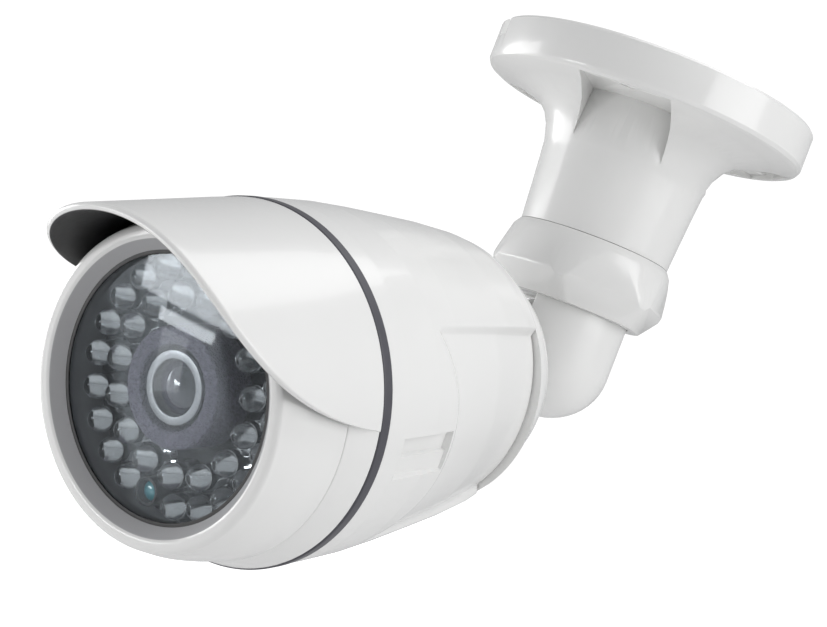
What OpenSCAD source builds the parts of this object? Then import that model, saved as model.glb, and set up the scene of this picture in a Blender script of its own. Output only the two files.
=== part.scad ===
// Bullet security camera on a three-axis bracket, hanging from its base plate.
// Row frame: origin at the centre of the base plate's mounting face, +Z out of that face,
// the head looking along -Y and pitched down, the tilt hinge along X.
// Head parts are drawn in a head frame: z runs back from the front rim, x right, -y up.

/* [Bracket] */
// Radius of the round base plate
base_r = 38.6; // [36:0.2:42]
// Height of the base plate's side wall
base_h = 9.8; // [9:0.2:12]
// Radius of the circle that the screws stand on
screw_circle_r = 32; // [30.5:0.5:33]
// Radius of each screw hole
screw_hole_r = 2.3; // [1.8:0.1:2.6]
// Distance from the mounting face down to the tilt axis
hinge_drop = 70; // [69.5:0.5:76]
// Sideways offset of the tilt joint's mating face
joint_offset = -1.2; // [-2:0.1:0]
// Radius of the round tongue and lug
tongue_r = 14.2; // [13.4:0.1:14.3]

/* [Pose] */
// Angle of the head below the horizontal
head_pitch = 16; // [0:1:45]
// Turn of the head about its own axis
head_roll = 8; // [-20:1:20]

/* [Head] */
// Distance from the front rim back to the tilt axis
head_reach = 131; // [129:1:138]
// Outer radius of the seam gasket
gasket_r = 35.5; // [35.4:0.05:36]
// How far the hood stands out in front of the rim
hood_reach = 18; // [14:0.5:20]
// Radius of the outer ring of lamps
outer_led_r = 22.4; // [22.2:0.1:22.8]
// Number of places on the outer ring, one of them taken by the light sensor
outer_led_places = 22; // [20:1:22]
// Radius of the inner ring of lamps
inner_led_r = 16.9; // [16.6:0.1:17]
// Number of lamps on the inner ring
inner_led_count = 15; // [12:1:15]

/* [Hidden] */

big = 200;
fine = 96;
gap = 0.3;            // clearance between curved faces of different bodies
thrust_gap = 0.1;     // clearance between flat faces that turn on each other
screw_angles = [-70, 50, 170];
slot_half_w = 10.6;   // half width of each screwdriver slot in the flare
slot_floor = 8.9;     // depth of the slot floors below the mounting face
column_top_r = 15.6;  // the tapered column left between the slots, at its two ends
column_foot_r = 24;
thread_r = 16.1;      // threaded end of the arm
thread_top = 41.2;
thread_end = 49.5;
collar_top = 41.3;
collar_mid = 51.5;
collar_bottom = 57.3;
collar_flat = 19.5;   // centre to flat of the collar's six sides
collar_foot = 16.3;   // the same at the sloping foot of the sides
flange_r = 16.05;
flange_top = 49.9;
flange_bottom = 53;
pivot_r = 2.5;
end_r = 12.5;         // round end of the lug about the tilt axis
tongue_end = 13.4;    // depth of the tongue's domed end below the tilt axis
lug_shoulder = 108;   // where the neck turns from a full column to a half one
cap_rear = 98;
board_front = 14;
board_t = 1.6;
led_r = 2.5;
led_tip = 5.4;
gasket_front = 22.3;
gasket_rear = 24.9;
housing_end = 85;
sensor_front = 26.6;
white = "#f2f2f0";
dark = "#4a4950";

// ---------- placing ----------

// Carries a shape from the head frame to its place on the bracket
module head_place(roll = head_roll) {
    translate([joint_offset, 0, -hinge_drop])
        rotate([head_pitch, 0, 0])
            rotate([0, roll, 0])
                rotate([-90, 0, 0])
                    translate([0, 0, -head_reach])
                        children();
}

// Turns a profile of [radius, distance] points about the z axis
module turned(points) {
    rotate_extrude($fn = fine) polygon(points);
}

module tube(r_out, r_in, z0, z1) {
    difference() {
        translate([0, 0, z0]) cylinder(r = r_out, h = z1 - z0, $fn = fine);
        translate([0, 0, z0 - 1]) cylinder(r = r_in, h = z1 - z0 + 2, $fn = fine);
    }
}

// Point of a cubic Bezier curve
function bezier(a, b, c, d, t) =
    pow(1 - t, 3) * a + 3 * t * pow(1 - t, 2) * b + 3 * t * t * (1 - t) * c + pow(t, 3) * d;

// Repeats a shape round a circle at the given angles, counted from right over the top
module around(r, angles) {
    for (a = angles)
        translate([r * cos(a), -r * sin(a), 0]) children();
}

// ---------- bracket ----------

// Trumpet-shaped arm and base plate in one moulding, hollow for the cable
module mount_base() {
    color(white)
    difference() {
        turned([
            [0, 0], [base_r - 0.6, 0], [base_r, -0.6], [base_r, -base_h + 1.2],
            [base_r - 0.5, -base_h + 0.3], [base_r - 1.6, -base_h - 0.2],
            [32, -base_h - 0.9], [28, -12], [24.4, -13.4], [22.2, -15.6], [20.8, -18.2],
            [19.7, -22], [19.2, -27], [18.7, -33], [18.25, -39], [18.1, -thread_top],
            [thread_r, -thread_top], [thread_r, -thread_end], [0, -thread_end],
        ]);
        for (a = screw_angles)
            screw_slot(a);
        // Cable way, open to the ceiling and through the arm
        turned([
            [0, 1], [base_r - 2.4, 1], [base_r - 2.4, -6.2], [15.4, -6.6], [15, -12],
            [14.8, -38], [12.2, -42], [12.2, -thread_end - 1], [0, -thread_end - 1],
        ]);
        cable_notch();
    }
    color(white)
    for (a = screw_angles)
        rotate([0, 0, a]) translate([screw_circle_r, 0, 0]) screw_boss();
}

// Screwdriver slot: clears the flare outside the round column of the arm
module screw_slot(a) {
    difference() {
        rotate([0, 0, a]) {
            translate([0, -slot_half_w, -40]) cube([base_r - 3.2, 2 * slot_half_w, 40 - slot_floor]);
            translate([screw_circle_r, 0, -40]) cylinder(r = screw_hole_r, h = 50, $fn = 48);
            translate([screw_circle_r, 0, -40])
                cylinder(r = 4, h = 40 - slot_floor + 2.2, $fn = 48);
        }
        translate([0, 0, -41])
            cylinder(r1 = column_foot_r, r2 = column_top_r, h = 42, $fn = fine);
    }
}

// Pillar that carries a screw's load to the mounting face
module screw_boss() {
    tube(4.1, screw_hole_r, -slot_floor + 2.2, 0);
}

// Mouse hole in the edge of the base plate, where a cable can leave
module cable_notch() {
    rotate([0, 0, -133])
        translate([base_r - 5, -2.4, -4.4]) cube([8, 4.8, 6]);
}

// Six-sided nut that flares downward and clamps the swivel to the arm
module lock_collar() {
    color(white)
    difference() {
        intersection() {
            turned([
                [0, -collar_top], [18.2, -collar_top], [19.3, -42.9], [21.4, -collar_mid],
                [21.4, -collar_mid - 1], [17.2, -collar_bottom], [0, -collar_bottom],
            ]);
            collar_hexagon();
        }
        translate([0, 0, -flange_bottom - thrust_gap])
            cylinder(r = thread_r + gap, h = big, $fn = fine);
        translate([0, 0, -big]) cylinder(r = tongue_r + gap, h = big, $fn = fine);
    }
}

// Six flats: upright down to the collar's widest line, then sloping in to its foot
module collar_hexagon() {
    corner = collar_flat / cos(30);
    foot = collar_foot / cos(30);
    slope = (corner - foot) / (collar_bottom - collar_mid);
    rotate([0, 0, -13])
    intersection() {
        translate([0, 0, -collar_bottom - 2]) cylinder(r = corner, h = 20, $fn = 6);
        translate([0, 0, -collar_bottom - 1])
            cylinder(r1 = foot - slope, r2 = foot + 19 * slope, h = 20, $fn = 6);
    }
}

module friction_washer() {
    color("#3b3b3b") tube(15.8, 12.6, -flange_top, -thread_end);
}

// Round column along z with a domed end that reaches below zero by the depth given
module domed_column(depth, top) {
    turned(concat(
        [for (i = [0:12]) [tongue_r * sin(i * 7.5), -depth * cos(i * 7.5)]],
        [[tongue_r, top], [0, top]]
    ));
}

// Side outline of the lug: a round end about the tilt axis on a straight root
module lug_outline() {
    circle(r = end_r, $fn = fine);
    translate([-40, -end_r]) square([40, 2 * end_r]);
}

// Half-round tongue under the collar, with its flange inside the collar
module swivel_tongue() {
    face = joint_offset + thrust_gap / 2;
    color(white)
    difference() {
        union() {
            translate([0, 0, -flange_bottom])
                cylinder(r = flange_r, h = flange_bottom - flange_top, $fn = fine);
            translate([0, 0, -collar_bottom])
                cylinder(r = tongue_r, h = collar_bottom - flange_bottom, $fn = fine);
            intersection() {
                translate([0, 0, -hinge_drop]) domed_column(tongue_end, hinge_drop - flange_bottom);
                translate([face, -big / 2, -big]) cube(big);
            }
        }
        // Pocket for the nut and the screw's end
        translate([face - 1, 0, -hinge_drop]) rotate([0, 90, 0]) cylinder(r = 4.1, h = 8, $fn = 48);
        // Cable way beside the tongue
        translate([joint_offset - 7, 0, -big / 2]) cylinder(r = 4.2, h = big, $fn = 48);
    }
}

module pivot_nut() {
    color("#c9a550")
    translate([joint_offset + thrust_gap / 2 + 0.6, 0, -hinge_drop]) rotate([0, 90, 0])
        tube(4.1, pivot_r, 0, 5.4);
}

module pivot_screw() {
    color("#b8bbc0")
    translate([joint_offset, 0, -hinge_drop]) rotate([0, -90, 0])
        difference() {
            union() {
                translate([0, 0, -6.2]) cylinder(r = pivot_r, h = 12.2, $fn = 48);
                translate([0, 0, 6]) cylinder(r = 4.2, h = 3, $fn = 48);
            }
            translate([-3, -0.5, 7.6]) cube([6, 1, 3]);
            translate([-0.5, -3, 7.6]) cube([1, 6, 3]);
        }
}

module pivot_washer() {
    color("#b8bbc0")
    translate([joint_offset, 0, -hinge_drop]) rotate([0, -90, 0]) tube(4.6, 2.6, 5.1, 6);
}

// ---------- neck between the tilt joint and the head ----------

// Round neck that ends in a half-round lug beside the tongue
module neck_lug() {
    color(white)
    head_place(0)
    difference() {
        union() {
            translate([0, 0, cap_rear + thrust_gap])
                cylinder(r = tongue_r, h = lug_shoulder - cap_rear - thrust_gap, $fn = fine);
            translate([0, 0, 94.8]) cylinder(r = 8.7, h = 5, $fn = fine);
            intersection() {
                translate([0, 0, head_reach]) rotate([180, 0, 0])
                    domed_column(end_r, head_reach - lug_shoulder + 4);
                translate([-thrust_gap / 2, 0, head_reach]) rotate([0, -90, 0])
                    linear_extrude(height = 30) lug_outline();
            }
        }
        // Bore and counterbore for the pivot screw
        translate([1, 0, head_reach]) rotate([0, -90, 0])
            cylinder(r = pivot_r + 0.08, h = 30, $fn = 48);
        translate([-5, 0, head_reach]) rotate([0, -90, 0]) cylinder(r = 5, h = 30, $fn = 48);
        // Cable bore to the shoulder, with a seat for the grommet
        translate([5, 0, 80]) cylinder(r = 3.2, h = 60, $fn = 48);
        translate([5, 0, lug_shoulder - 3]) cylinder(r = 4.4, h = 60, $fn = 48);
        // Screw holes of the retainer
        around(6.6, [110, 180, 250]) translate([0, 0, 90]) cylinder(r = 0.8, h = 10, $fn = 24);
    }
}

// Plate inside the rear cap that keeps the neck in its bore
module neck_retainer() {
    color("#9a9da2")
    head_place(0)
    difference() {
        translate([0, 0, 92.8]) cylinder(r = 12.6, h = 2, $fn = fine);
        translate([5, 0, 80]) cylinder(r = 3.2, h = 60, $fn = 48);
        around(6.6, [110, 180, 250]) translate([0, 0, 90]) cylinder(r = 0.8, h = 10, $fn = 24);
    }
}

module retainer_screws() {
    color("#b8bbc0")
    head_place(0)
    around(6.6, [110, 180, 250]) {
        translate([0, 0, 92.8]) cylinder(r = 0.8, h = 5, $fn = 24);
        translate([0, 0, 91.4]) cylinder(r = 1.6, h = 1.4, $fn = 24);
    }
}

module cable_grommet() {
    color("#2c2c2e")
    head_place(0)
    translate([5, 0, 0])
    turned([[2, lug_shoulder - 3], [4.4, lug_shoulder - 3], [4.4, lug_shoulder],
            [4.1, lug_shoulder + 1.4], [3.2, lug_shoulder + 2.2], [2, lug_shoulder + 2.2]]);
}

// ---------- head shells ----------

module rear_cap() {
    color(white)
    head_place()
    difference() {
        turned([
            [26.4, housing_end], [26.3, 87], [25.4, 91.5], [24.2, 94.4], [22.2, 96.6],
            [19.6, cap_rear], [9, cap_rear], [9, cap_rear - 2.8], [18.4, cap_rear - 2.8],
            [21.6, 93.4], [23.2, 90.5], [23.6, 87], [23.6, 80.4], [25.8, 80.4],
            [25.8, housing_end],
        ]);
        around(24.7, [30, 150, 270]) translate([0, 0, 70]) cylinder(r = 0.7, h = 14, $fn = 24);
    }
}

module cap_screws() {
    color("#b8bbc0")
    head_place()
    around(24.7, [30, 150, 270]) {
        translate([0, 0, 79]) cylinder(r = 0.7, h = 4.6, $fn = 24);
        translate([0, 0, 77.8]) cylinder(r = 1.3, h = 1.2, $fn = 24);
    }
}

// Tapered rear housing with a stepped relief and a small notch on each side
module rear_housing() {
    color(white)
    head_place()
    difference() {
        union() {
            turned([
                [35.2, gasket_rear], [35.3, 30], [35, 40], [34.2, 49], [33.2, 58], [31.8, 70],
                [30.2, 80], [29.2, housing_end - 1], [28.6, housing_end], [26.1, housing_end],
                [26.1, 80.4], [26.6, 78], [28.2, 69], [29.4, 58], [30.6, 49], [31.2, 40],
                [31.2, gasket_rear],
            ]);
            // Ledge that the cap screws pass through
            difference() {
                tube(28, 23.2, 79, 80.4);
                around(24.7, [30, 150, 270]) translate([0, 0, 70]) cylinder(r = 0.75, h = 20, $fn = 24);
            }
        }
        side_relief(0);
        side_relief(180);
        side_notch(1);
        side_notch(-1);
    }
}

module side_relief(turn) {
    rotate([0, 0, turn - 41])
        rotate_extrude(angle = 82, $fn = fine)
            polygon([[33.5, 48], [40, 48], [40, 90], [26.5, 90], [26.6, housing_end], [30.6, 66]]);
}

// Two shallow steps one above the other, cut from the right and mirrored to the left
module side_notch(side) {
    mirror([side < 0 ? 1 : 0, 0, 0]) {
        translate([33.4, -4.4, 30.5]) cube([8, 4.2, 16.5]);
        translate([34.1, -0.3, 30.5]) cube([8, 4, 16.5]);
    }
}

module seam_gasket() {
    color(dark) head_place() tube(gasket_r, 31.2, gasket_front, gasket_rear);
}

// Ring behind the front barrel and the hood over it, in one moulding
module sun_hood() {
    color(white)
    head_place() {
        turned([[31.2, 16.1], [32.95, 16.1], [35.2, gasket_front], [31.2, gasket_front]]);
        intersection() {
            turned([
                [31.9, -hood_reach - 0.6], [33.4, -hood_reach - 0.6], [34.3, 0], [35.1, 16],
                [35.3, gasket_front], [33.5, gasket_front], [33.4, 16.1], [32.7, 0],
            ]);
            hood_region();
        }
    }
}

// Everything above the hood's swept lower edge, seen from the side
module hood_region() {
    start = [gasket_front + 0.1, 6.6];
    lip = [-hood_reach + 0.4, 33.6];
    rotate([0, -90, 0])
        linear_extrude(height = 2 * big, center = true)
            polygon(concat(
                [for (i = [0:16]) let (p = bezier(start, [2, 9], [-15.5, 20], lip, i / 16))
                    [p[0], -p[1]]],
                [[-hood_reach, -50], [gasket_front + 0.1, -50]]
            ));
}

module front_bezel() {
    color(white)
    head_place()
    turned([
        [25.2, 2.6], [27.6, 0.5], [28, 0.15], [28.4, 0], [28.9, 0], [29.5, 0.2], [29.9, 0.6],
        [30.2, 1.3], [31.5, 5], [32.4, 10], [32.9, 15.8], [30.9, 15.8], [30.9, 21], [28.8, 21],
        [28.8, board_front], [27, board_front], [27, 2.6],
    ]);
}

// ---------- window and lamps ----------

module window_seal() {
    color("#151517") head_place() tube(26.8, 24.5, 2.6, 3);
}

module window() {
    color("#dfe6ea", 0.3)
    head_place() translate([0, 0, 3]) cylinder(r = 26.7, h = 1.4, $fn = fine);
}

module led_board() {
    color("#17181a")
    head_place()
    difference() {
        translate([0, 0, board_front]) cylinder(r = 28.4, h = board_t, $fn = fine);
        translate([0, 0, 0]) cylinder(r = 8.6, h = 40, $fn = fine);
    }
}

// Clear 5 mm lamp with a flange and a round nose
module lamp() {
    translate([0, 0, led_tip]) turned([
        [0, 0], [1.25, 0.33], [2.17, 1.25], [led_r, 2.5], [led_r, 7.6], [2.7, 7.6],
        [2.7, board_front - led_tip], [0, board_front - led_tip],
    ]);
}

module outer_leds() {
    step = 360 / outer_led_places;
    color("#e9edf0", 0.6)
    head_place() around(outer_led_r, [for (i = [1:outer_led_places - 1]) 270 + i * step]) lamp();
}

module inner_leds() {
    step = 360 / inner_led_count;
    color("#e9edf0", 0.6)
    head_place() around(inner_led_r, [for (i = [0:inner_led_count - 1]) 90 + i * step]) lamp();
}

// Light sensor in its dark tube at the foot of the outer ring
module light_sensor() {
    color("#3f8f96")
    head_place() around(outer_led_r - 1, [270])
    translate([0, 0, 6.6]) difference() {
        cylinder(r = 2.8, h = board_front - 6.6, $fn = 48);
        translate([0, 0, -1]) cylinder(r = 2.1, h = 2, $fn = 48);
    }
}

// ---------- lens ----------

// Foam ring between the window and the board that shields the lens from the lamps
module foam_ring() {
    color("#3a3644") head_place() tube(11.4, 8, 4.45, board_front);
}

module lens_barrel() {
    color("#1b1b1d")
    head_place() turned([
        [5.6, 5.8], [7, 5.8], [7, 10.6], [6, 10.6], [6, 22], [4.6, 22], [4.6, 18.5], [4.4, 18.5],
        [4.4, 9], [5.4, 9],
    ]);
}

module lens_trim_ring() {
    color("#8d8f92") head_place() tube(7, 5.2, 5.3, 5.8);
}

module front_lens() {
    color("#22262b", 0.8)
    head_place() turned([[0, 5.5], [2.2, 5.7], [4, 6.3], [5.2, 7.2], [5.35, 8.9], [0, 8.9]]);
}

module rear_lens() {
    color("#c7ced6", 0.7)
    head_place() turned([[0, 18.6], [4.3, 18.6], [4.3, 20.6], [2.4, 21.3], [0, 21.5]]);
}

module lens_holder() {
    color("#232325")
    head_place() difference() {
        union() {
            translate([0, 0, 16.4]) cylinder(r = 7.9, h = 7, $fn = fine);
            translate([-9, -9, 22.6]) cube([18, 18, 4]);
            translate([-12.5, -3, 24.6]) cube([25, 6, 2]);
        }
        translate([0, 0, 10]) cylinder(r = 6.06, h = 13, $fn = fine);
        translate([-6.2, -6.2, 23]) cube([12.4, 12.4, 6]);
        for (side = [-1, 1])
            translate([side * 11, 0, 20]) cylinder(r = 0.8, h = 10, $fn = 24);
    }
}

module holder_screws() {
    color("#b8bbc0")
    head_place() for (side = [-1, 1]) translate([side * 11, 0, 0]) {
        translate([0, 0, 24.6]) cylinder(r = 0.8, h = 3.6, $fn = 24);
        translate([0, 0, 23.5]) cylinder(r = 1.4, h = 1.1, $fn = 24);
    }
}

module light_filter() {
    color("#7fb2a0", 0.7) head_place() translate([-5.5, -5.5, 23.1]) cube([11, 11, 0.6]);
}

module image_sensor() {
    color("#2f3338") head_place() translate([-4.5, -4.5, 25.2]) cube([9, 9, sensor_front - 25.2]);
}

module sensor_board() {
    color("#1f5c3a")
    head_place() difference() {
        translate([-19, -19, sensor_front]) cube([38, 38, board_t]);
        for (x = [-16.5, 16.5], y = [-16.5, 16.5])
            translate([x, y, 20]) cylinder(r = 1.1, h = 20, $fn = 24);
        for (side = [-1, 1])
            translate([side * 11, 0, 20]) cylinder(r = 0.8, h = 20, $fn = 24);
    }
}

module board_chips() {
    back = sensor_front + board_t;
    color("#2a2a2c")
    head_place() {
        translate([-8, -10, back]) cube([12, 12, 1.4]);
        translate([7, -6, back]) cube([7, 9, 1.4]);
        translate([-15, 4, back]) cube([4, 6, 2]);
        for (x = [-13, -7, -1])
            translate([x, 12.6, back]) cylinder(r = 2.4, h = 5.4, $fn = 48);
    }
}

module board_plug() {
    color("#efe9da")
    head_place() translate([4, 8, sensor_front + board_t]) difference() {
        cube([10, 5.4, 6]);
        translate([1, 1, 2]) cube([8, 3.4, 5]);
    }
}

module board_spacers() {
    color("#c9a550")
    head_place() for (x = [-16.5, 16.5], y = [-16.5, 16.5])
        translate([x, y, 0]) tube(2.2, 1, board_front + board_t, sensor_front);
}

module spacer_screws() {
    color("#b8bbc0")
    head_place() for (x = [-16.5, 16.5], y = [-16.5, 16.5]) translate([x, y, 0]) {
        translate([0, 0, sensor_front - 5]) cylinder(r = 1, h = 5 + board_t, $fn = 24);
        translate([0, 0, sensor_front + board_t]) cylinder(r = 1.9, h = 1.4, $fn = 24);
    }
}

// Flat lead between the two boards
module board_cable() {
    color("#d9d9d6")
    head_place() {
        translate([-5, 20.3, board_front + board_t]) cube([10, 0.8, 18]);
        translate([-5, 16, board_front + board_t + 17.2]) cube([10, 4.3, 0.8]);
    }
}

mount_base();
lock_collar();
friction_washer();
swivel_tongue();
pivot_nut();
pivot_screw();
pivot_washer();
neck_lug();
neck_retainer();
retainer_screws();
cable_grommet();
rear_cap();
cap_screws();
rear_housing();
seam_gasket();
sun_hood();
front_bezel();
window_seal();
window();
led_board();
outer_leds();
inner_leds();
light_sensor();
foam_ring();
lens_barrel();
lens_trim_ring();
front_lens();
rear_lens();
lens_holder();
holder_screws();
light_filter();
image_sensor();
sensor_board();
board_chips();
board_plug();
board_spacers();
spacer_screws();
board_cable();
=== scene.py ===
"""Bullet security camera on a three-axis bracket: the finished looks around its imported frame."""

import math

import bmesh
import bpy
import numpy as np
from mathutils import Matrix, Vector


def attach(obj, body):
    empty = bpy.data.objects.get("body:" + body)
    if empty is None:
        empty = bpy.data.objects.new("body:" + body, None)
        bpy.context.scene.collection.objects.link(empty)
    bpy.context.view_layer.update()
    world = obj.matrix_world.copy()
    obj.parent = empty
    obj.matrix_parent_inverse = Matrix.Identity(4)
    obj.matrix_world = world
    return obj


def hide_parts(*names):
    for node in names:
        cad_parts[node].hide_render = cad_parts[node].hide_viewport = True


bl_info = {
    "name": "Bullet Security Camera",
    "version": (1, 0, 0),
    "blender": (4, 5, 0),
    "location": "View3D > Sidebar > Camera",
    "description": "Builds the shells, lamps, lens and finishes of a bullet security camera",
    "category": "Add Mesh",
}

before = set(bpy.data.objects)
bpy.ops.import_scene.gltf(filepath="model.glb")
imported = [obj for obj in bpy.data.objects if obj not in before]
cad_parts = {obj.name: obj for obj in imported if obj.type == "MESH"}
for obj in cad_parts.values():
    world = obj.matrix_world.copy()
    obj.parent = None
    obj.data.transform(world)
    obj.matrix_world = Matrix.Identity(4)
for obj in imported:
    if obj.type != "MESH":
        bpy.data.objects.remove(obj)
MM = 0.001
# The head points down by its pitch; along its axis, distances run back from the rim to the hinge
HEAD_PITCH = math.radians(16)
HEAD_ROLL = math.radians(8)
HEAD_REACH = 131.0
HINGE = np.array([-1.2, 0.0, -70.0])
WINDOW_FRONT, WINDOW_BACK = 3.0, 4.4
BOARD_FRONT = 14.0
HOUSING_END = 85.0
GASKET_FRONT, GASKET_REAR = 22.3, 24.9
SHELL_INSIDE = 31.2
MERGE = 2e-6


# ---------- places and shapes ----------


def head_axes():
    """Right, up and backward directions of the head: the level axes pitched down, then rolled."""
    cp, sp = math.cos(HEAD_PITCH), math.sin(HEAD_PITCH)
    cr, sr = math.cos(HEAD_ROLL), math.sin(HEAD_ROLL)
    right = np.array([cr, sr * sp, -sr * cp])
    up = np.array([sr, -cr * sp, cr * cp])
    back = np.array([0.0, cp, sp])
    return right, up, back


def in_head(right, up, back):
    """Points of the head, given in mm to the right, up and back from its rim, in the frame's metres."""
    x, y, z = head_axes()
    right, up, back = np.broadcast_arrays(right, up, back)
    mm = HINGE + right[..., None] * x + up[..., None] * y + (back - HEAD_REACH)[..., None] * z
    return mm * MM


def soften(corners, reach, steps=5, closed=True):
    """A polyline with each corner rounded by a quadratic curve that starts reach before the corner."""
    p = np.asarray(corners, float)
    before, after = np.roll(p, 1, 0) - p, np.roll(p, -1, 0) - p
    far_before = np.linalg.norm(before, axis=1, keepdims=True)
    far_after = np.linalg.norm(after, axis=1, keepdims=True)
    near = np.minimum(np.asarray(reach, float).reshape(-1, 1), 0.45 * np.minimum(far_before, far_after))
    a = (p + before / far_before * near)[:, None]
    b = (p + after / far_after * near)[:, None]
    t = np.linspace(0, 1, steps)[None, :, None]
    curve = (1 - t) ** 2 * a + 2 * t * (1 - t) * p[:, None] + t**2 * b
    if closed:
        return curve.reshape(-1, 2)
    return np.concatenate([p[:1], curve[1:-1].reshape(-1, 2), p[-1:]])


def around(places):
    """Equal angles round a circle, the first at zero."""
    return np.linspace(0, 2 * math.pi, places, endpoint=False)


def turned(profile, places=240):
    """A profile of (radius, distance back) turned about the head axis."""
    a = around(places)
    r, s = profile[:, :1], profile[:, 1:]
    return in_head(r * np.cos(a), r * np.sin(a), s)


def faces_of(rows, columns, wrap_rows, wrap_columns):
    """Corner numbers of the four-sided faces of a grid that may close on itself either way."""
    i = np.arange(rows if wrap_rows else rows - 1)[:, None]
    j = np.arange(columns if wrap_columns else columns - 1)[None, :]
    i2, j2 = (i + 1) % rows, (j + 1) % columns
    corners = [i * columns + j, i * columns + j2, i2 * columns + j2, i2 * columns + j]
    return np.stack(corners, -1).reshape(-1, 4)


def place_piece(name, mesh, material, body, stands_for, sharp):
    """An object for a mesh, smooth up to the sharp angle, that rides a body in place of frame nodes."""
    mesh.shade_smooth()
    mesh.set_sharp_from_angle(angle=math.radians(sharp))
    mesh.materials.clear()
    mesh.materials.append(material)
    piece = bpy.data.objects.new(name, mesh)
    bpy.context.scene.collection.objects.link(piece)
    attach(piece, body)
    if stands_for:
        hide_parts(*stands_for)
    return piece


def lay(name, grids, material, body, stands_for=(), sharp=40.0):
    """A piece from grids of (points, rows close, columns close); axes before the last three are copies."""
    corners, faces, count = [], [], 0
    for points, wrap_rows, wrap_columns in grids:
        rows, columns = points.shape[-3:-1]
        flat = points.reshape(-1, rows * columns, 3)
        one = faces_of(rows, columns, wrap_rows, wrap_columns)
        starts = count + np.arange(len(flat)) * rows * columns
        faces.append((one[None] + starts[:, None, None]).reshape(-1, 4))
        corners.append(flat.reshape(-1, 3))
        count += flat.shape[0] * rows * columns
    corners, faces = np.concatenate(corners), np.concatenate(faces)
    mesh = bpy.data.meshes.new(name)
    mesh.vertices.add(len(corners))
    mesh.vertices.foreach_set("co", corners.astype(np.float32).ravel())
    mesh.loops.add(faces.size)
    mesh.loops.foreach_set("vertex_index", faces.astype(np.int32).ravel())
    mesh.polygons.add(len(faces))
    mesh.polygons.foreach_set("loop_start", np.arange(0, faces.size, 4, dtype=np.int32))
    mesh.update(calc_edges=True)
    edit = bmesh.new()
    edit.from_mesh(mesh)
    bmesh.ops.remove_doubles(edit, verts=edit.verts, dist=MERGE)
    bmesh.ops.dissolve_degenerate(edit, edges=edit.edges, dist=MERGE / 2)
    bmesh.ops.recalc_face_normals(edit, faces=edit.faces)
    edit.to_mesh(mesh)
    edit.free()
    place_piece(name, mesh, material, body, stands_for, sharp)


def eased(name, node, material, body, width, corner=30.0, flat=0.6):
    """A copy of a frame node, its flat faces made whole and its sharp corners rounded by width mm."""
    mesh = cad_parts[node].data.copy()
    mesh.name = name
    edit = bmesh.new()
    edit.from_mesh(mesh)
    bmesh.ops.remove_doubles(edit, verts=edit.verts, dist=MERGE)
    bmesh.ops.dissolve_limit(
        edit, angle_limit=math.radians(flat), verts=edit.verts, edges=edit.edges
    )
    edit.to_mesh(mesh)
    edit.free()
    piece = place_piece(name, mesh, material, body, [node], corner)
    edge = piece.modifiers.new("eased", "BEVEL")
    edge.width, edge.segments, edge.limit_method = width * MM, 3, "ANGLE"
    edge.angle_limit, edge.harden_normals = math.radians(corner), True
    edge.miter_outer = "MITER_ARC"


def smooth_step(value, low, high):
    """0 below low, 1 above high, and 3t^2 - 2t^3 between them."""
    t = np.clip((value - low) / (high - low), 0, 1)
    return t * t * (3 - 2 * t)


# ---------- shader sums ----------

GLOSS = 0.24
COAT = 0.35
# How far back from the rim the painted shade inside the hood and bezel reaches
PAINTED_SHADE_END = 15.9


class Value:
    """A node socket that can be written in sums: + - * and ** add Math nodes."""

    def __init__(self, finish, socket):
        self.finish, self.socket = finish, socket

    def _sum(self, operation, first, second):
        return self.finish.node("ShaderNodeMath", {"operation": operation}, [first, second])[0]

    def __add__(self, other):
        return self._sum("ADD", self, other)

    def __radd__(self, other):
        return self._sum("ADD", other, self)

    def __sub__(self, other):
        return self._sum("SUBTRACT", self, other)

    def __rsub__(self, other):
        return self._sum("SUBTRACT", other, self)

    def __mul__(self, other):
        return self._sum("MULTIPLY", self, other)

    def __rmul__(self, other):
        return self._sum("MULTIPLY", other, self)

    def __pow__(self, other):
        return self._sum("POWER", self, other)


class Finish:
    """A node material under construction."""

    def __init__(self, name):
        self.material = bpy.data.materials.new(name)
        self.material.use_nodes = True
        self.tree = self.material.node_tree
        self.tree.nodes.clear()

    def node(self, kind, settings=None, inputs=None):
        """A node of that type, its settings set before its sockets, by place or name; gives its outputs."""
        made = self.tree.nodes.new(kind)
        for key, value in (settings or {}).items():
            if key == "stops":
                ramp = made.color_ramp
                while len(ramp.elements) < len(value):
                    ramp.elements.new(0.5)
                for stop, (place, colour) in zip(ramp.elements, value):
                    stop.position, stop.color = place, colour
            else:
                setattr(made, key, value)
        pairs = inputs.items() if isinstance(inputs, dict) else enumerate(inputs or [])
        for key, value in pairs:
            if isinstance(value, Value):
                self.tree.links.new(value.socket, made.inputs[key])
            else:
                made.inputs[key].default_value = value
        return [Value(self, out) for out in made.outputs]

    def spot(self):
        """Object coordinates in millimetres."""
        place = self.node("ShaderNodeTexCoord")[3]
        return self.node("ShaderNodeMapping", None, {"Vector": place, "Scale": (1 / MM,) * 3})[0]

    def noise(self, scale, detail=3.0, rough=0.5):
        """Noise of that many bumps a millimetre, from 0 to 1."""
        return self.node(
            "ShaderNodeTexNoise", None,
            {"Vector": self.spot(), "Scale": scale, "Detail": detail, "Roughness": rough},
        )[0]

    def blend(self, amount, first, second):
        """A colour between two, by amount."""
        mixed = self.node(
            "ShaderNodeMix", {"data_type": "RGBA"}, {0: amount, 6: first, 7: second}
        )
        return mixed[2]

    def bump(self, height, depth):
        """Normals tilted by a height field that is depth millimetres from low to high."""
        inputs = {"Height": height, "Distance": depth * MM, "Strength": 1.0}
        return self.node("ShaderNodeBump", None, inputs)[0]

    def done(self, **sockets):
        """The Principled shader with these sockets, wired to the output."""
        named = {key.replace("_", " "): value for key, value in sockets.items()}
        shader = self.node("ShaderNodeBsdfPrincipled", None, named)[0]
        self.node("ShaderNodeOutputMaterial", None, [shader])
        return self.material


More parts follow.
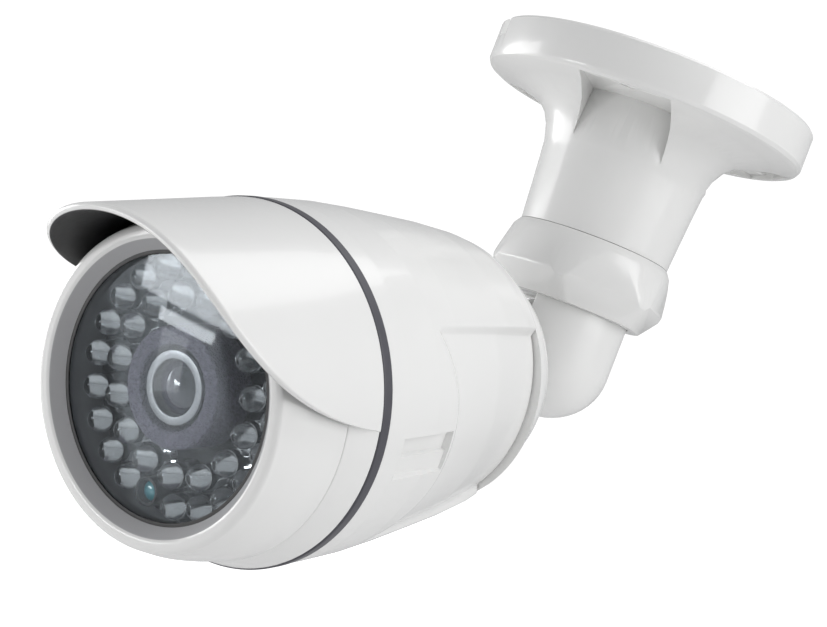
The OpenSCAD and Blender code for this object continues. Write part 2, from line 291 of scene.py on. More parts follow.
def rgb(colour, factor=1.0):
    """A colour property as four numbers, brightened or darkened."""
    return (colour[0] * factor, colour[1] * factor, colour[2] * factor, 1.0)


def off_axis(f):
    """A point's distance from the head axis and its distance back from the rim, both in mm."""
    place = f.node("ShaderNodeTexCoord")[3]
    hinge = tuple(HINGE * MM)
    axis = tuple(head_axes()[2])
    arm = f.node("ShaderNodeVectorMath", {"operation": "SUBTRACT"}, [place, hinge])[0]
    cross = f.node("ShaderNodeVectorMath", {"operation": "CROSS_PRODUCT"}, [arm, axis])[0]
    along = f.node("ShaderNodeVectorMath", {"operation": "DOT_PRODUCT"}, [arm, axis])[1]
    radius = f.node("ShaderNodeVectorMath", {"operation": "LENGTH"}, [cross])[1]
    return radius * (1 / MM), along * (1 / MM) + HEAD_REACH


def within(f, value, limit, width):
    """1 where value is under limit, 0 above it, with a soft edge of that width."""
    return f.node("ShaderNodeMath", {"operation": "MULTIPLY", "use_clamp": True},
                  [limit - value, 1 / width])[0]


def moulded_plastic(name, colour, rough=GLOSS, painted_shade=None):
    """Glossy moulded plastic: faint cloudiness, fine grain, flow ripple and duller scuffs.

    A painted shade is a dark colour painted where shade falls, the radius inside which it covers the
    plastic, and that radius's slope back.
    """
    f = Finish(name)
    cloud = f.noise(0.05, 4)
    scuff = f.noise(0.9, 5, 0.65)
    fine = f.noise(6.0, 2)
    ripple = f.noise(0.16, 1)
    tone = f.blend(cloud, rgb(colour, 0.965), rgb(colour, 1.0))
    roughness = rough + (scuff - 0.5) * 0.12
    coat = COAT
    if painted_shade:
        shade_colour, shade_radius, slope = painted_shade
        # Painted shade: inside that radius and in front of its end, the plastic takes the dark colour,
        # duller and without coat
        radius, back = off_axis(f)
        near = within(f, radius - back * slope, shade_radius, 0.12)
        mask = near * within(f, back, PAINTED_SHADE_END, 0.3)
        tone = f.blend(mask, tone, rgb(shade_colour))
        roughness = roughness + mask * 0.25
        coat = COAT - mask * COAT
    height = fine * 0.25 + ripple * 0.75
    return f.done(
        Base_Color=tone, Roughness=roughness, Normal=f.bump(height, 0.004),
        Coat_Weight=coat, Coat_Roughness=0.08, Specular_IOR_Level=0.5,
    )


def rubber(name, colour, rough, depth=0.02):
    """Dull rubber or soft plastic: speckle, dusty patches and a fine grain."""
    f = Finish(name)
    dust = f.noise(0.35, 5, 0.6)
    fine = f.noise(3.5, 3)
    tone = f.blend(dust, rgb(colour, 0.85), rgb(colour, 1.25))
    return f.done(
        Base_Color=tone, Roughness=rough + (dust - 0.5) * 0.2, Normal=f.bump(fine, depth)
    )


def foam(name, colour):
    """Open foam: cells as a cell pattern pressed into the face, with painted shade down in the cells and
    paler walls between them.
    """
    f = Finish(name)
    cells = f.node(
        "ShaderNodeTexVoronoi", {"feature": "F1"}, {"Vector": f.spot(), "Scale": 2.1}
    )[0]
    lumps = f.noise(1.1, 5, 0.7)
    depth = cells * 0.7 + lumps * 0.6
    # Painted shade: darker down in the cells and lighter on the walls, following the bump height
    tone = f.blend(depth, rgb(colour, 0.35), rgb(colour, 1.5))
    return f.done(Base_Color=tone, Roughness=0.95, Normal=f.bump(depth, 0.45))


def metal(name, colour, rough):
    """Machined metal: a fine grain, tarnish and duller patches."""
    f = Finish(name)
    grain = f.noise(7.0, 2)
    tarnish = f.noise(0.6, 5, 0.6)
    tone = f.blend(tarnish, rgb(colour, 0.8), rgb(colour, 1.05))
    return f.done(
        Base_Color=tone, Metallic=1.0, Roughness=rough + (tarnish - 0.5) * 0.16,
        Normal=f.bump(grain, 0.004),
    )


def clear_resin(name, colour):
    """Clear cast resin: light passes through it, with faint flow ripple."""
    f = Finish(name)
    ripple = f.noise(0.7, 2)
    haze = f.noise(1.6, 3)
    tone = f.blend(haze, rgb(colour, 0.96), rgb(colour, 1.0))
    return f.done(
        Base_Color=tone, Roughness=haze * 0.02, Transmission_Weight=1.0, IOR=1.5,
        Normal=f.bump(ripple, 0.01),
    )


def pane(name, tint):
    """Flat glass: clear, with a mirror share that grows at a slant, and a faint dusty film."""
    f = Finish(name)
    film = f.noise(0.3, 5, 0.6)
    facing = f.node("ShaderNodeLayerWeight", None, {"Blend": 0.5})[1]
    share = 0.03 + 0.95 * facing**5
    clear = f.node("ShaderNodeBsdfTransparent", None, [rgb(tint)])[0]
    mirror = f.node("ShaderNodeBsdfPrincipled", None, {
        "Base Color": (0.8, 0.85, 0.9, 1.0), "Roughness": 0.02 + film * 0.04, "Metallic": 1.0,
    })[0]
    shown = f.node("ShaderNodeMixShader", None, [share + film * 0.003, clear, mirror])[0]
    f.node("ShaderNodeOutputMaterial", None, [shown])
    return f.material


def lens_glass(name, colour):
    """Coated lens glass: nearly black through, glossy, with the coating's faint tint painted into the
    colour by the angle of view, a painted reflection.
    """
    f = Finish(name)
    facing = f.node("ShaderNodeLayerWeight", None, {"Blend": 0.35})[1]
    film = f.noise(0.8, 2)
    # Painted reflection: the colour turns to the coating's purple at a slant
    tone = f.blend(facing, rgb(colour), (0.05, 0.02, 0.09, 1.0))
    return f.done(
        Base_Color=tone, Roughness=0.03 + film * 0.02, Coat_Weight=1.0, Coat_Roughness=0.02,
        Specular_IOR_Level=0.8, Normal=f.bump(film, 0.002),
    )


def circuit_board(name, mask, copper):
    """Board under solder mask: tracks as a stepped cell pattern, slightly raised, with roughness varied by
    a weave.
    """
    f = Finish(name)
    tracks = f.node(
        "ShaderNodeTexVoronoi", {"feature": "F1", "distance": "CHEBYCHEV"},
        {"Vector": f.spot(), "Scale": 0.55},
    )[0]
    line = f.node(
        "ShaderNodeValToRGB", {"stops": [(0.44, (0, 0, 0, 1)), (0.47, (1, 1, 1, 1))]}, [tracks]
    )[0]
    weave = f.noise(2.4, 2)
    tone = f.blend(line, rgb(mask), rgb(copper))
    return f.done(Base_Color=tone, Roughness=0.35 + weave * 0.2, Normal=f.bump(line, 0.03))


# ---------- sizes and colours ----------


def length(name, text, default):
    """A length property given in millimetres and kept in metres."""
    return bpy.props.FloatProperty(
        name=name, description=text, default=default * MM, min=0.0, unit="LENGTH", precision=5
    )


def paint(name, text, default):
    """A colour property."""
    return bpy.props.FloatVectorProperty(
        name=name, description=text, default=default, size=3, min=0.0, max=1.0, subtype="COLOR"
    )


class HeadSizes(bpy.types.PropertyGroup):
    gasket_radius: length("Gasket radius", "Outer radius of the dark ring in the body", 35.5)
    hood_reach: length("Hood reach", "How far the hood stands out in front of the rim", 18.0)
    outer_ring: length("Outer lamp ring", "Radius of the outer ring of lamps", 22.4)
    inner_ring: length("Inner lamp ring", "Radius of the inner ring of lamps", 16.9)
    lamp_radius: length("Lamp radius", "Radius of one lamp's clear body", 2.5)
    window_radius: length("Window radius", "Radius of the round glass window", 26.7)
    outer_places: bpy.props.IntProperty(
        name="Outer places", description="Places on the outer ring, one for the light sensor",
        default=22, min=6,
    )
    inner_places: bpy.props.IntProperty(
        name="Inner lamps", description="Lamps on the inner ring", default=15, min=6
    )
    relief_half_angle: bpy.props.FloatProperty(
        name="Side relief", description="Half the angle that each flattened side spans",
        default=math.radians(41), subtype="ANGLE",
    )


class FinishColours(bpy.types.PropertyGroup):
    shell: paint("Shell", "White plastic of the shells", (0.86, 0.86, 0.85))
    gasket: paint("Gasket", "Dark rubber ring", (0.068, 0.067, 0.08))
    seal: paint("Seal", "Black seal and inner parts", (0.01, 0.01, 0.011))
    foam: paint("Foam", "Foam ring round the lens", (0.17, 0.155, 0.2))
    board: paint("Lamp board", "Black solder mask of the lamp board", (0.012, 0.012, 0.014))
    green_board: paint("Sensor board", "Green solder mask", (0.015, 0.11, 0.045))
    steel: paint("Steel", "Screws and washers", (0.55, 0.56, 0.58))
    brass: paint("Brass", "Nut and spacers", (0.72, 0.52, 0.22))
    sensor: paint("Light sensor", "Window of the light sensor", (0.05, 0.42, 0.47))


def sizes():
    return bpy.context.scene.camera_sizes


def colours():
    return bpy.context.scene.camera_colours


def mm(value):
    """A kept length, in millimetres."""
    return value / MM


FINISHES = {}


def finish(name):
    """The named finish, made once."""
    if name in FINISHES:
        return FINISHES[name]
    c = colours()
    # Painted shade: the hood's inside, white plastic lying in shade, painted near black
    hood_painted_shade = (0.012, 0.012, 0.013), 32.95, 0.042
    # Painted shade: the inner bevel round the window painted grey for the shade it lies in
    bezel_painted_shade = (0.42, 0.42, 0.43), 27.35, 0.0
    makers = {
        "shell_gloss": (moulded_plastic, c.shell),
        "hood_gloss": (moulded_plastic, c.shell, GLOSS, hood_painted_shade),
        "bezel_gloss": (moulded_plastic, c.shell, GLOSS, bezel_painted_shade),
        "plug_cream": (moulded_plastic, (0.8, 0.76, 0.64), 0.4),
        "gasket_rubber": (rubber, c.gasket, 0.45, 0.012),
        "seal_rubber": (rubber, c.seal, 0.4, 0.01),
        "dark_plastic": (rubber, c.seal, 0.35, 0.01),
        "washer_plastic": (rubber, (0.05, 0.05, 0.05), 0.5),
        "chip_black": (rubber, (0.02, 0.02, 0.022), 0.4, 0.01),
        "flat_lead": (rubber, (0.68, 0.68, 0.65), 0.4, 0.01),
        "foam_open": (foam, c.foam),
        "brass_turned": (metal, c.brass, 0.28),
        "steel_screw": (metal, c.steel, 0.26),
        "trim_metal": (metal, (0.3, 0.3, 0.31), 0.3),
        "cup_metal": (metal, (0.85, 0.85, 0.84), 0.15),
        "gold_chip": (metal, (0.9, 0.7, 0.3), 0.2),
        "lamp_resin": (clear_resin, (0.97, 0.98, 1.0)),
        "lens_rear": (clear_resin, (0.8, 0.85, 0.9)),
        "filter_pane": (clear_resin, (0.5, 0.8, 0.7)),
        "window_pane": (pane, (0.9, 0.92, 0.93)),
        "lens_front": (lens_glass, (0.006, 0.008, 0.012)),
        "sensor_window": (lens_glass, c.sensor),
        "lamp_board": (circuit_board, c.board, (0.022, 0.022, 0.026)),
        "sensor_board": (circuit_board, c.green_board, (0.03, 0.2, 0.08)),
    }
    maker, *options = makers[name]
    FINISHES[name] = maker(name, *options)
    return FINISHES[name]


# ---------- shells of the head ----------


def hood_outside(s):
    """Radius of the hood's outside, at a distance back."""
    return np.interp(s, [-18.6, 0, 16, GASKET_FRONT], [33.4, 34.3, 35.1, 35.32])


def hood_inside(s):
    """Radius of the hood's inside, at a distance back."""
    return np.interp(s, [-18.6, 0, 16.1, GASKET_FRONT], [31.9, 32.7, 33.4, 33.5])


def housing_outside(s):
    """Radius of the rear housing where it is round, at a distance back."""
    return np.interp(
        s, [24.9, 30, 40, 49, 58, 70, 80, 84], [35.2, 35.3, 35, 34.2, 33.2, 31.8, 30.2, 29.2]
    )


class BuildHood(bpy.types.Operator):
    """Ring behind the front barrel and the sun hood over it, in one moulding"""

    bl_idname = "security_camera.build_hood"
    bl_label = "Sun hood"

    def execute(self, context):
        ring = soften([(SHELL_INSIDE, 16.1), (32.7, 16.1), (35.25, GASKET_FRONT),
                       (SHELL_INSIDE, GASKET_FRONT)], 0.3)
        reach = mm(sizes().hood_reach)
        # Lower edge seen from the side: one cubic curve from the gasket up to the lip
        t = np.linspace(0, 1, 400)[:, None]
        ends = np.array([[22.4, 6.6], [2, 9], [-15.5, 20], [0.4 - reach, 33.6]])
        edge = (
            (1 - t) ** 3 * ends[0] + 3 * t * (1 - t) ** 2 * ends[1]
            + 3 * t * t * (1 - t) * ends[2] + t**3 * ends[3]
        )
        angle = np.arcsin(np.clip(edge[:, 1] / hood_outside(edge[:, 0]), 0, 1))
        # Angles over the top, close together near the two feet
        foot, close = angle[0], 0.35
        a = np.concatenate([
            np.linspace(foot, close, 24, endpoint=False),
            np.linspace(close, math.pi - close, 150),
            np.linspace(math.pi - close, math.pi - foot, 25)[1:],
        ])
        lip = 0.72
        front = np.interp(np.minimum(a, math.pi - a), angle, edge[:, 0])
        front = np.minimum(front + lip, GASKET_FRONT - 0.1)
        # Section at each angle: outer line forward, round lip, inner line back
        run = np.linspace(0, 1, 26)[:, None]
        s_out = GASKET_FRONT + (front - GASKET_FRONT) * run
        turn = np.linspace(0, math.pi, 11)[1:-1, None]
        outside, inside = hood_outside(front), hood_inside(front)
        s_lip = front - lip * np.sin(turn)
        r_lip = (outside + inside) / 2 + (outside - inside) / 2 * np.cos(turn)
        s = np.concatenate([s_out, s_lip, s_out[::-1]])
        r = np.concatenate([hood_outside(s_out), r_lip, hood_inside(s_out[::-1])])
        shell = in_head(r * np.cos(a), r * np.sin(a), s)
        # Each foot is closed by a fan about its middle
        feet = shell[:, [0, -1]].mean(0)
        left, right = (np.broadcast_to(middle, (len(shell), 1, 3)) for middle in feet)
        shell = np.concatenate([left, shell, right], 1)
        lay("hood_shell", [(shell, True, False), (turned(ring), True, True)],
            finish("hood_gloss"), "head", ["sun_hood"])
        return {"FINISHED"}


class BuildFrontBezel(bpy.types.Operator):
    """Front barrel with its rounded rim and the dished bevel round the window"""

    bl_idname = "security_camera.build_front_bezel"
    bl_label = "Front bezel"

    def execute(self, context):
        outline = soften([
            (25.2, 2.6), (27.2, 0.35), (27.8, 0.0), (29.1, 0.0), (29.95, 0.4), (30.3, 1.5),
            (31.5, 5), (32.4, 10), (32.9, 15.8), (30.9, 15.8), (30.9, 21), (28.8, 21),
            (28.8, BOARD_FRONT), (27, BOARD_FRONT), (27, 2.6),
        ], [0.1, 0.5, 0.3, 0.4, 0.6, 0.8, 2, 2, 0.3, 0.2, 0.2, 0.2, 0.2, 0.2, 0.2], 7)
        lay("bezel_shell", [(turned(outline, 288), True, True)],
            finish("bezel_gloss"), "head", ["front_bezel"])
        return {"FINISHED"}


class BuildRearHousing(bpy.types.Operator):
    """Tapered rear housing, each side flattened behind a curved step and cut by a stepped notch"""

    bl_idname = "security_camera.build_rear_housing"
    bl_label = "Rear housing"

    def execute(self, context):
        half = sizes().relief_half_angle
        # Angles close together at the relief's edges and the notch's edges
        fine = np.concatenate([
            np.linspace(-half - 0.05, -half + 0.02, 18), np.linspace(-0.14, 0.14, 57),
            np.linspace(half - 0.05, half + 0.02, 18),
        ])
        a = np.concatenate([around(240), fine, fine + math.pi])
        a = np.unique(np.round(np.mod(a, 2 * math.pi), 5))
        s = np.concatenate([
            np.linspace(GASKET_REAR, 30.1, 7), np.linspace(30.3, 30.7, 5),
            np.linspace(31.1, 46.7, 40), np.linspace(46.8, 47.2, 5),
            np.linspace(47.4, 52, 16), np.linspace(53, 84, 32),
        ])
        side = np.abs(np.mod(a + math.pi / 2, math.pi) - math.pi / 2)
        outer = housing_outside(s)[:, None] + 0 * a
        # Relief: a flatter radius, faded in behind a front edge that bows back at mid height
        flat = np.interp(s, [40, 48, 66, 85], [34.2, 33.3, 30.9, 27.3])[:, None]
        flat = flat - 0.9 * np.cos(side / half * math.pi / 2) * smooth_step(s, 52, 85)[:, None]
        bow = 48.2 - 6.5 * (side / half) ** 2.4
        spanned = smooth_step(half - side, -0.01, 0.045)
        behind = smooth_step(s[:, None] - bow, -0.6, 1.9)
        r = outer - (outer - np.minimum(flat, outer)) * spanned * behind
        # Notch in each side: two shallow steps, the upper one deeper
        upper_floor, lower_floor, middle = 32.8, 33.6, 20
        along = smooth_step(s, 30.4, 30.6) * (1 - smooth_step(s, 46.9, 47.1))
        up = r * np.sin(a)
        across = np.abs(r * np.cos(a))
        step = smooth_step(up, 0.12, 0.28)
        upper = step * (1 - smooth_step(up, 4.32, 4.48)) * along[:, None]
        lower = smooth_step(up, -3.78, -3.62) * (1 - step) * along[:, None]
        floor = across - np.maximum(across - upper_floor, 0) * upper
        floor = floor - np.maximum(across - lower_floor, 0) * lower
        r = r * np.where(across > middle, floor / np.maximum(across, 1e-6), 1)
        # Rounded rear lip, then the inside line back to the gasket
        lip = r[-1:] - np.array([[0.08], [0.35], [0.7]])
        inside = soften([
            (28.6, HOUSING_END), (26.1, HOUSING_END), (26.1, 80.4), (26.6, 78), (28.2, 69),
            (29.4, 58), (30.6, 49), (SHELL_INSIDE, 40), (SHELL_INSIDE, GASKET_REAR + 0.02),
        ], 0.3, 4)
        radius = np.concatenate([np.maximum(r, 26.6), lip, inside[:, :1] + 0 * a])
        back = np.concatenate([s, [84.4, 84.8, HOUSING_END], inside[:, 1]])[:, None]
        shell = in_head(radius * np.cos(a), radius * np.sin(a), back)
        lay("housing_shell", [(shell, True, True)], finish("shell_gloss"), "head",
            ["rear_housing"])
        return {"FINISHED"}


class BuildRings(bpy.types.Operator):
    """Rear cap, seam gasket and window seal"""

    bl_idname = "security_camera.build_rings"
    bl_label = "Cap and rings"

    def execute(self, context):
        cap = soften([
            (26.0, HOUSING_END - 0.2), (26.4, 85.1), (26.3, 87), (25.4, 91.5), (24.2, 94.4),
            (22.2, 96.6), (19.6, 98), (9, 98), (9, 95.2), (18.4, 95.2), (21.6, 93.4),
            (23.2, 90.5), (23.6, 87), (23.6, 80.4), (25.8, 80.4),
        ], [0.05, 0.1, 1, 2, 2, 1.6, 1, 0.2, 0.2, 0.3, 1, 1, 1, 0.2, 0.2], 6)
        lay("cap_shell", [(turned(cap), True, True)], finish("shell_gloss"), "head",
            ["rear_cap"])
        edge = mm(sizes().gasket_radius)
        gasket = soften([
            (SHELL_INSIDE, GASKET_FRONT), (edge, GASKET_FRONT), (edge, GASKET_REAR),
            (SHELL_INSIDE, GASKET_REAR),
        ], [0.1, 0.45, 0.45, 0.1], 6)
        lay("gasket_ring", [(turned(gasket, 288), True, True)], finish("gasket_rubber"), "head",
            ["seam_gasket"])
        seal = soften([
            (24.5, 2.62), (26.8, 2.62), (26.8, WINDOW_FRONT), (24.5, WINDOW_FRONT),
        ], 0.12, 4)
        lay("seal_ring", [(turned(seal), True, True)], finish("seal_rubber"), "head",
            ["window_seal"])
        return {"FINISHED"}


# ---------- window, lamps and lens ----------


class BuildWindow(bpy.types.Operator):
    """Round glass window with ground edges"""

    bl_idname = "security_camera.build_window"
    bl_label = "Window"

    def execute(self, context):
        edge = mm(sizes().window_radius)
        outline = soften([(0, WINDOW_FRONT), (edge, WINDOW_FRONT), (edge, WINDOW_BACK),
                          (0, WINDOW_BACK)], 0.15, 4, closed=False)
        lay("window_disc", [(turned(outline), False, True)], finish("window_pane"), "head",
            ["window"])
        return {"FINISHED"}


def small_turned(profile, rights, ups, places=24):
    """A small profile turned about each of several lines that run back from the window."""
    a = around(places)
    r, s = profile[:, :1], profile[:, 1:]
    right = rights[:, None, None] + r * np.cos(a)
    up = ups[:, None, None] + r * np.sin(a)
    return in_head(right, up, np.broadcast_to(s, right.shape))


class BuildLamps(bpy.types.Operator):
    """Two rings of clear round-nosed lamps, each with its cup, chip and leads inside"""

    bl_idname = "security_camera.build_lamps"
    bl_label = "Lamps"

    def execute(self, context):
        z = sizes()
        r = mm(z.lamp_radius)
        nose = np.linspace(0, math.pi / 2, 9)
        dome = np.stack([r * np.sin(nose), 5.4 + r * (1 - np.cos(nose))], 1)
        foot = [(r, 12.8), (r + 0.2, 13.0), (r + 0.2, 13.95), (0, 13.95)]
        body = np.concatenate([dome, foot])
        cup = np.array([(0, 10.5), (0.6, 10.42), (1.25, 9.5), (1.8, 8.9), (2.0, 8.9), (2.0, 9.5),
                        (0.6, 11.9), (0.42, 13.9), (0, 13.9)])
        post_place = 1.75
        post = np.array([(0, 9.5), (0.42, 9.5), (0.42, 13.9), (0, 13.9)])
        chip = np.array([(0, 10.1), (0.34, 10.1), (0.34, 10.42), (0, 10.42)])
        # The outer ring's lowest place is left to the light sensor
        step = 2 * math.pi / z.outer_places
        rings = {
            "outer": (mm(z.outer_ring), 1.5 * math.pi + np.arange(1, z.outer_places) * step),
            "inner": (mm(z.inner_ring), 0.5 * math.pi + around(z.inner_places)),
        }
        for name, (radius, angles) in rings.items():
            x, y = radius * np.cos(angles), radius * np.sin(angles)
            lay(f"{name}_lamps", [(small_turned(body, x, y), False, True)],
                finish("lamp_resin"), "head", [f"{name}_leds"], 60)
            px, py = x + post_place * np.sin(angles), y - post_place * np.cos(angles)
            lay(f"{name}_lamp_cups", [(small_turned(cup, x, y, 16), False, True),
                                      (small_turned(post, px, py, 6), False, True)],
                finish("cup_metal"), "head")
            lay(f"{name}_lamp_chips", [(small_turned(chip, x, y, 4), False, True)],
                finish("gold_chip"), "head")
        return {"FINISHED"}


class BuildSensorAndFoam(bpy.types.Operator):
    """Light sensor in its dark tube, and the foam ring round the lens"""

    bl_idname = "security_camera.build_sensor_and_foam"
    bl_label = "Light sensor and foam"

    def execute(self, context):
        inwards = 1.0
        place = np.array([0.0]), np.array([inwards - mm(sizes().outer_ring)])
        tube = soften([(2.15, 6.6), (2.8, 6.6), (2.8, 13.9), (0.4, 13.9), (0.4, 9.2), (2.15, 9.2)],
                      0.15, 4)
        lay("sensor_tube", [(small_turned(tube, *place, 48), True, True)],
            finish("dark_plastic"), "head", ["light_sensor"])
        bow = np.linspace(0, math.pi / 2, 8)
        dome = np.stack([2.1 * np.sin(bow), 8.4 - 1.1 * np.cos(bow)], 1)
        dome = np.concatenate([dome, [(2.1, 9.15), (0, 9.15)]])
        lay("sensor_dome", [(small_turned(dome, *place, 40), False, True)],
            finish("sensor_window"), "head")
        # Foam ring: a section with extra points along its front, made uneven by slow waves
        bore, rim, front = 8.0, 11.4, 4.5
        a = around(180)
        face = soften([(bore, front), (rim, front), (rim, 13.95), (bore, 13.95)],
                      [0.5, 0.6, 0.1, 0.1], 6)
        extra = np.linspace(0, 1, 8)[1:-1, None] * [3.0, 0] + [bore + 0.2, front]
        section = np.concatenate([face[:6], extra, face[6:]])
        waves = sum(
            np.sin(a * n + section[:, :1] * k + n) for n, k in ((23, 2.1), (41, 3.7), (67, -5.0))
        ) / 3
        exposed = 1 - smooth_step(section[:, 1:], front, front + 2)
        r = np.clip(section[:, :1] + 0.10 * waves * (1 - exposed), bore, rim)
        s = section[:, 1:] + (0.22 + 0.18 * waves) * exposed
        lay("foam_collar", [(in_head(r * np.cos(a), r * np.sin(a), s), True, True)],
            finish("foam_open"), "head", ["foam_ring"], 80)
        return {"FINISHED"}


class BuildLens(bpy.types.Operator):
    """Front lens, its metal trim ring and the threaded barrel behind them"""

    bl_idname = "security_camera.build_lens"
    bl_label = "Lens"

    def execute(self, context):
        t = np.linspace(0, 1, 12)
        dome = np.stack([5.1 * t, 5.55 + 1.75 * t**2], 1)
        glass = np.concatenate([dome, [(5.3, 8.0), (5.3, 8.85), (0, 8.85)]])
        lay("lens_dome", [(turned(glass, 96), False, True)], finish("lens_front"), "lens",
            ["front_lens"])
        trim = soften([(5.25, 5.32), (6.98, 5.32), (6.98, 5.78), (5.6, 5.78)],
                      [0.25, 0.2, 0.05, 0.05], 5)
        lay("trim_ring", [(turned(trim, 128), True, True)], finish("trim_metal"), "lens",
            ["lens_trim_ring"])
        turns = 53
        crest, depth = 5.98, 0.16
        thread = np.stack([
            crest - depth * (np.arange(turns) % 2), np.linspace(11.2, 21.6, turns)
        ], 1)
        barrel = np.concatenate([
            [(5.5, 5.82), (6.95, 5.82), (6.98, 6.0), (6.98, 10.4), (6.85, 10.58), (6.0, 10.62)],
            thread, [(5.9, 21.95), (4.65, 21.95), (4.65, 18.55), (4.45, 18.45), (4.45, 9.05),
                     (5.38, 8.95)],
        ])
        lay("barrel_thread", [(turned(barrel, 128), True, True)], finish("dark_plastic"), "lens",
            ["lens_barrel"])
        return {"FINISHED"}


class BuildBracket(bpy.types.Operator):
    """Base with its arm, lock collar, tongue and neck, each with eased edges"""

    bl_idname = "security_camera.build_bracket"
    bl_label = "Bracket and neck"

    def execute(self, context):
        white = finish("shell_gloss")
        eased("base_moulding", "mount_base", white, "bracket", 0.35)
        eased("collar_moulding", "lock_collar", white, "collar", 0.35)
        eased("tongue_moulding", "swivel_tongue", white, "swivel", 0.5)
        eased("neck_moulding", "neck_lug", white, "neck", 0.4)
        return {"FINISHED"}


class DressFrame(bpy.types.Operator):
    """Finishes on the pieces that keep their frame shape: washers, screws, boards and rear optics"""

    bl_idname = "security_camera.dress_frame"
    bl_label = "Inner parts"

    wear = {
        "washer_plastic": ["friction_washer", "cable_grommet"],
        "brass_turned": ["pivot_nut", "board_spacers"],
        "steel_screw": ["pivot_screw", "pivot_washer", "neck_retainer", "retainer_screws",
                        "cap_screws", "holder_screws", "spacer_screws"],
        "lamp_board": ["led_board"],
        "sensor_board": ["sensor_board"],
        "chip_black": ["board_chips", "image_sensor"],
        "dark_plastic": ["lens_holder"],
        "lens_rear": ["rear_lens"],
        "filter_pane": ["light_filter"],
        "plug_cream": ["board_plug"],
        "flat_lead": ["board_cable"],
    }

    def execute(self, context):
        for name, nodes in self.wear.items():
            for node in nodes:
                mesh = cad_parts[node].data
                mesh.materials.clear()
                mesh.materials.append(finish(name))
        return {"FINISHED"}


# ---------- stage ----------


FLOOR_LEVEL, FLOOR_HALF = -0.24, 6.0
HEAD_MIDDLE = Vector((-0.0012, -0.10, -0.09))
UPRIGHT = Vector((0, 0, 1))
# Soft lights: where each stands, what it faces, its width and height, and its power
SOFTBOXES = {
    "key_right": (Vector((0.75, -0.05, 0.25)), HEAD_MIDDLE, 0.6, 0.6, 3.0),
    "top": (Vector((0.15, 0.1, 0.7)), HEAD_MIDDLE, 0.7, 0.5, 1.9),
    "left_low": (Vector((-0.62, -0.12, -0.2)), Vector((0, 0, -0.03)), 0.5, 0.4, 2.6),
}
# Small panels mirrored in the window: mm across and up, width and height in mm, and power
PANELS = {
    "panel_top": (-16, 44, 112, 30, 0.13),
    "panel_band": (-30, 18, 50, 8, 0.02),
    "panel_side": (-40, -16, 24, 48, 0.012),
}
PANEL_DISTANCE = 0.28
PANEL_DIRECTION = Vector((-0.5645, -0.723, -0.397)).normalized()
VIEW_FROM = Vector((0.2353, -0.4026, -0.0933))
VIEW_TOWARDS = Vector((-0.5645, 0.8241, 0.047)).normalized()
VIEW_RIGHT = Vector((0.7783, 0.5125, 0.3629)).normalized()
VIEW_LENS, VIEW_SENSOR = 87.06, 36.0


def pose_of(side, rise, out, at):
    """The matrix of a thing whose own x, y and z axes are these, at a point."""
    rows = [(side[k], rise[k], out[k], at[k]) for k in range(3)]
    return Matrix((*rows, (0, 0, 0, 1)))


def softbox(name, at, towards, wide, high, power, up=UPRIGHT):
    """A rectangular soft light at a point, facing another, its height along up."""
    box = bpy.data.lights.new(name, "AREA")
    box.shape, box.size, box.size_y, box.energy = "RECTANGLE", wide, high, power
    lamp = bpy.data.objects.new(name, box)
    bpy.context.scene.collection.objects.link(lamp)
    out = (at - towards).normalized()
    side = up.cross(out).normalized()
    lamp.matrix_world = pose_of(side, out.cross(side), out, at)
    lamp.visible_camera = False


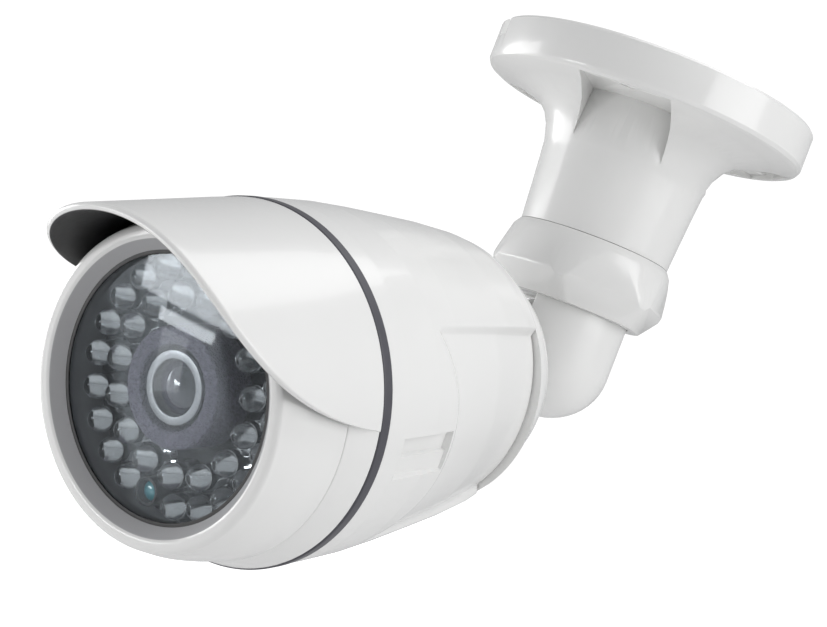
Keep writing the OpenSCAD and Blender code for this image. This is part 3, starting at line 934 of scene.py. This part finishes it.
class SetStage(bpy.types.Operator):
    """Pale floor, soft studio light and the camera"""

    bl_idname = "security_camera.set_stage"
    bl_label = "Stage"

    def execute(self, context):
        scene = context.scene
        scene.view_settings.view_transform = "Standard"
        self.add_world(scene)
        self.add_floor(scene)
        for name, settings in SOFTBOXES.items():
            softbox(name, *settings)
        self.add_panels()
        self.add_camera(scene)
        return {"FINISHED"}

    @staticmethod
    def add_world(scene):
        """A soft light from all round, which the camera sees as white."""
        world = bpy.data.worlds.new("studio")
        scene.world = world
        world.use_nodes = True
        nodes, links = world.node_tree.nodes, world.node_tree.links
        nodes.clear()
        seen = nodes.new("ShaderNodeLightPath")
        mix, out = nodes.new("ShaderNodeMixShader"), nodes.new("ShaderNodeOutputWorld")
        links.new(seen.outputs["Is Camera Ray"], mix.inputs[0])
        skies = ((0.98, 0.985, 1.0, 1.0), 0.46), ((1.0, 1.0, 1.0, 1.0), 1.05)
        for place, (colour, strength) in enumerate(skies, 1):
            sky = nodes.new("ShaderNodeBackground")
            sky.inputs["Color"].default_value = colour
            sky.inputs["Strength"].default_value = strength
            links.new(sky.outputs[0], mix.inputs[place])
        links.new(mix.outputs[0], out.inputs[0])

    @staticmethod
    def add_floor(scene):
        """A wide floor, low enough for the head to hang clear of it, which the camera sees pale."""
        size, level = FLOOR_HALF, FLOOR_LEVEL
        mesh = bpy.data.meshes.new("floor")
        corners = [(-size, -size), (size, -size), (size, size), (-size, size)]
        mesh.from_pydata([(x, y, level) for x, y in corners], [], [(0, 1, 2, 3)])
        floor = bpy.data.objects.new("floor", mesh)
        scene.collection.objects.link(floor)
        f = Finish("floor_pale")
        seen = f.node("ShaderNodeLightPath")[0]
        glow = f.blend(seen, rgb((0, 0, 0)), rgb((0.85, 0.85, 0.85)))
        mesh.materials.append(f.done(
            Base_Color=(0.8, 0.8, 0.8, 1.0), Roughness=0.45 + f.noise(0.02) * 0.1,
            Emission_Color=glow, Emission_Strength=1.0,
        ))

    @staticmethod
    def add_panels():
        """The small panels, level with the head's own right and up directions."""
        right, up = (Vector(v) for v in head_axes()[:2])
        pane_middle = Vector(in_head(0.0, 0.0, WINDOW_FRONT))
        middle = pane_middle + PANEL_DIRECTION * PANEL_DISTANCE
        for name, (across, high, wide, tall, power) in PANELS.items():
            at = middle + right * (across * MM) + up * (high * MM)
            softbox(name, at, pane_middle, wide * MM, tall * MM, power, up)

    @staticmethod
    def add_camera(scene):
        """The camera, level with the view's right direction."""
        camera = bpy.data.cameras.new("view")
        camera.lens, camera.sensor_width = VIEW_LENS, VIEW_SENSOR
        camera.clip_start, camera.clip_end = 0.01, 50.0
        eye = bpy.data.objects.new("view", camera)
        scene.collection.objects.link(eye)
        up = VIEW_RIGHT.cross(VIEW_TOWARDS)
        eye.matrix_world = pose_of(VIEW_TOWARDS.cross(up), up, -VIEW_TOWARDS, VIEW_FROM)
        scene.camera = eye


class CameraPanel(bpy.types.Panel):
    """Lists the sizes, the colours and the pieces"""

    bl_idname = "VIEW3D_PT_security_camera"
    bl_label = "Security camera"
    bl_space_type = "VIEW_3D"
    bl_region_type = "UI"
    bl_category = "Camera"

    def draw(self, context):
        column = self.layout.column()
        for group in (context.scene.camera_sizes, context.scene.camera_colours):
            for name in group.__annotations__:
                column.prop(group, name)
        for operator in OPERATORS:
            column.operator(operator.bl_idname)


OPERATORS = [
    BuildHood, BuildFrontBezel, BuildRearHousing, BuildRings, BuildWindow, BuildLamps,
    BuildSensorAndFoam, BuildLens, BuildBracket, DressFrame, SetStage,
]
CLASSES = [HeadSizes, FinishColours, *OPERATORS, CameraPanel]


def register():
    for each in CLASSES:
        bpy.utils.register_class(each)
    bpy.types.Scene.camera_sizes = bpy.props.PointerProperty(type=HeadSizes)
    bpy.types.Scene.camera_colours = bpy.props.PointerProperty(type=FinishColours)


def unregister():
    del bpy.types.Scene.camera_colours
    del bpy.types.Scene.camera_sizes
    for each in reversed(CLASSES):
        bpy.utils.unregister_class(each)


def main():
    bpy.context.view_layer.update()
    register()
    bpy.ops.security_camera.build_hood()
    bpy.ops.security_camera.build_front_bezel()
    bpy.ops.security_camera.build_rear_housing()
    bpy.ops.security_camera.build_rings()
    bpy.ops.security_camera.build_window()
    bpy.ops.security_camera.build_lamps()
    bpy.ops.security_camera.build_sensor_and_foam()
    bpy.ops.security_camera.build_lens()
    bpy.ops.security_camera.build_bracket()
    bpy.ops.security_camera.dress_frame()
    bpy.ops.security_camera.set_stage()


if __name__ == "__main__":
    main()
